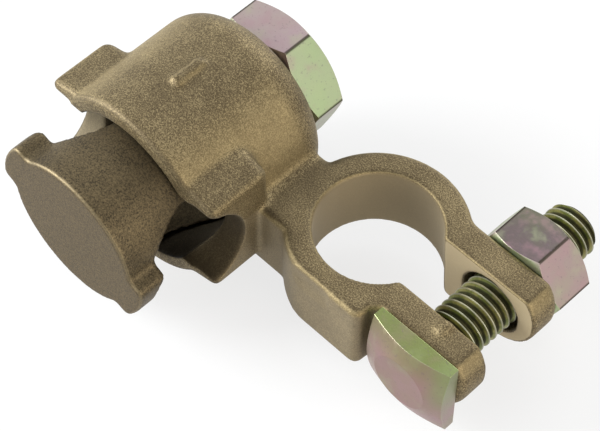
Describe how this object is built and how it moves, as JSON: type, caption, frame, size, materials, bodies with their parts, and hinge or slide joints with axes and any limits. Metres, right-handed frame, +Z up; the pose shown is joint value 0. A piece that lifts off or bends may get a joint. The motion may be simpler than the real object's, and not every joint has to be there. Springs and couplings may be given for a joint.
{
  "type": "battery terminal clamp",
  "caption": "Cast brass battery post clamp with a pinch bolt and a cup that grips a cable with a threaded cross-hole plug.",
  "frame": {"origin": "on the axis of the post bore, at the underside of the ring", "axes": "+Z up along the battery post, +X from the post towards the split jaws, +Y along the clamp bolt and the cable plug, from their heads towards their nuts"},
  "size_m": [0.0664, 0.0498, 0.0287],
  "materials": {
    "cast_brass": "sand cast and blasted, machined in the post bore and jaw faces",
    "plug_brass": "machined end face, rough cast flanks, cut thread",
    "cable_nut": "yellow-passivated zinc",
    "clamp_bolt": "yellow-passivated zinc",
    "clamp_nut": "yellow-passivated zinc"
  },
  "bodies": {
    "body": {"clamp_body": "cast_brass"},
    "plug": {"cable_plug": "plug_brass"},
    "plug_nut": {"cable_nut": "cable_nut"},
    "bolt": {"clamp_bolt": "clamp_bolt"},
    "bolt_nut": {"clamp_nut": "clamp_nut"}
  },
  "joints": [
    {"name": "cable_nut_turn", "type": "hinge", "parent": "body", "child": "plug_nut", "pos_m": [-0.0281, 0.0064, 0.0101], "axis": [0, 1, 0], "range_deg": [-1085, 95]},
    {"name": "plug_travel", "type": "slide", "parent": "body", "child": "plug", "axis": [0, 1, 0], "range_m": [-0.00044, 0.00525]},
    {"name": "clamp_nut_turn", "type": "hinge", "parent": "body", "child": "bolt_nut", "pos_m": [0.0155, 0.0094, 0.006], "axis": [0, 1, 0], "range_deg": [-5, 1085]},
    {"name": "bolt_travel", "type": "slide", "parent": "body", "child": "bolt", "axis": [0, 1, 0], "range_m": [-0.00375, 0]}
  ],
  "couplings": [
    {"joint": "cable_nut_turn", "follows": "plug_travel", "rad_per_m": -3590.4},
    {"joint": "clamp_nut_turn", "follows": "bolt_travel", "rad_per_m": -5026.5}
  ]
}
